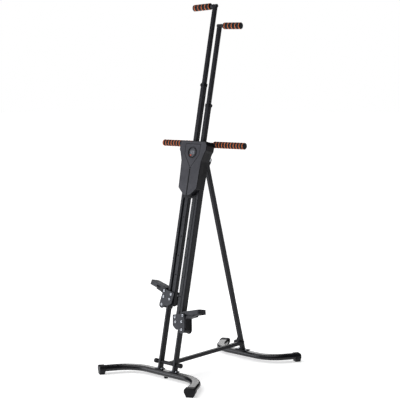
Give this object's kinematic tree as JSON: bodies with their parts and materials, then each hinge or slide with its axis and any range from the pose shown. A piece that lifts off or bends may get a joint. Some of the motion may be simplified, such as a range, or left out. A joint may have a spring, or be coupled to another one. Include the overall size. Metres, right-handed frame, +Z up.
{
  "type": "vertical climber machine",
  "caption": "Folding vertical climber: leaning twin posts with opposed sliding arms, pedals, telescoping top handles, a fixed handlebar and a rear leg.",
  "frame": {"origin": "on the floor, midway between the front and rear feet, in the middle plane", "axes": "+Z up, the user stands on the -Y side and faces +Y, +X to the user's right"},
  "size_m": [0.8052, 1.1042, 2.219],
  "materials": {
    "black_paint": "satin black powder coat",
    "grey_paint": "graphite powder coat",
    "black_plastic": "fine-grained moulded black",
    "graphite_plastic": "satin graphite moulding",
    "black_rubber": "matt black rubber",
    "foam": "black foam with orange-brown rings",
    "steel": "zinc-plated steel",
    "dial": "silver-grey dial"
  },
  "bodies": {
    "frame": {"front_base_tube": "black_paint", "front_cap_right": "black_plastic", "front_cap_left": "black_plastic", "middle_foot": "black_rubber", "post_foot_plates": "black_paint", "frame_bolts": "steel", "lower_post_left": "black_paint", "lower_post_right": "black_paint", "upper_post_left": "black_paint", "upper_post_right": "black_paint", "lower_axle": "steel", "axle_bushings": "black_plastic", "head_bracket": "black_paint", "arm_guides": "black_plastic", "front_cover": "graphite_plastic", "rear_cover": "black_plastic", "cover_screws": "steel", "display_bezel": "black_plastic", "display_face": "dial", "handlebar": "black_paint", "handlebar_grip_left": "foam", "handlebar_grip_right": "foam", "leg_bracket": "black_paint", "leg_pivot_bolt": "steel", "drive_cable": "steel"},
    "pulley": {"pulley": "black_paint"},
    "display_button": {"display_button": "black_plastic"},
    "rear_leg": {"leg_tube": "black_paint", "leg_foot": "black_paint", "leg_bolts": "steel", "rear_base_tube": "black_paint", "rear_cap_right": "black_plastic", "rear_cap_left": "black_plastic"},
    "lock_pin": {"lock_pin": "black_plastic"},
    "link": {"link_bar": "black_paint", "link_sleeves": "steel"},
    "left_arm": {"arm_tube_left": "black_paint", "arm_collar_left": "black_plastic", "carriage_front_plate_left": "grey_paint", "carriage_rear_plate_left": "grey_paint", "carriage_block_left": "black_plastic", "carriage_bolts_left": "steel", "pedal_arm_left": "black_paint", "pedal_tread_left": "graphite_plastic", "cable_lug_left": "steel"},
    "left_handle": {"handle_bar_left": "black_paint", "handle_grip_left": "foam"},
    "left_height_pin": {"height_pin_left": "black_plastic"},
    "right_arm": {"arm_tube_right": "black_paint", "arm_collar_right": "black_plastic", "carriage_front_plate_right": "grey_paint", "carriage_rear_plate_right": "grey_paint", "carriage_block_right": "black_plastic", "carriage_bolts_right": "steel", "pedal_arm_right": "black_paint", "pedal_tread_right": "graphite_plastic", "cable_lug_right": "steel"},
    "right_handle": {"handle_bar_right": "black_paint", "handle_grip_right": "foam"},
    "right_height_pin": {"height_pin_right": "black_plastic"}
  },
  "joints": [
    {"name": "left_arm_slide", "type": "slide", "parent": "frame", "child": "left_arm", "axis": [0, 0.2036, 0.979], "range_m": [-0.1625, 0.0375], "deforming": ["drive_cable"]},
    {"name": "right_arm_slide", "type": "slide", "parent": "frame", "child": "right_arm", "axis": [0, 0.2036, 0.979], "range_m": [-0.0375, 0.1625]},
    {"name": "pulley_spin", "type": "hinge", "parent": "frame", "child": "pulley", "pos_m": [0, -0.09797, 1.3308], "axis": [0, 0.979, -0.2036], "range_deg": [-318, 75]},
    {"name": "rear_leg_fold", "type": "hinge", "parent": "frame", "child": "rear_leg", "pos_m": [0, 0.01597, 1.278], "axis": [-1, 0, 0], "range_deg": [0, 26]},
    {"name": "link_fold", "type": "hinge", "parent": "frame", "child": "link", "pos_m": [0, -0.32303, 0.09166], "axis": [1, 0, 0], "range_deg": [0, 50]},
    {"name": "lock_pin_pull", "type": "slide", "parent": "rear_leg", "child": "lock_pin", "axis": [-1, 0, 0], "range_m": [0, 0.014], "stiffness_N_per_m": 900, "springref_m": -0.006},
    {"name": "display_button_press", "type": "slide", "parent": "frame", "child": "display_button", "axis": [0, 0.979, -0.2036], "range_m": [0, 0.0015], "stiffness_N_per_m": 1200, "springref_m": -0.001},
    {"name": "left_handle_slide", "type": "slide", "parent": "left_arm", "child": "left_handle", "axis": [0, 0.2036, 0.979], "range_m": [-0.4, 0]},
    {"name": "left_height_pin_pull", "type": "slide", "parent": "left_arm", "child": "left_height_pin", "axis": [-1, 0, 0], "range_m": [0, 0.008], "stiffness_N_per_m": 900, "springref_m": -0.006},
    {"name": "right_handle_slide", "type": "slide", "parent": "right_arm", "child": "right_handle", "axis": [0, 0.2036, 0.979], "range_m": [-0.4, 0]},
    {"name": "right_height_pin_pull", "type": "slide", "parent": "right_arm", "child": "right_height_pin", "axis": [1, 0, 0], "range_m": [0, 0.008], "stiffness_N_per_m": 900, "springref_m": -0.006}
  ],
  "couplings": [
    {"joint": "right_arm_slide", "follows": "left_arm_slide", "ratio": -1},
    {"joint": "pulley_spin", "follows": "left_arm_slide", "rad_per_m": 33.898}
  ]
}
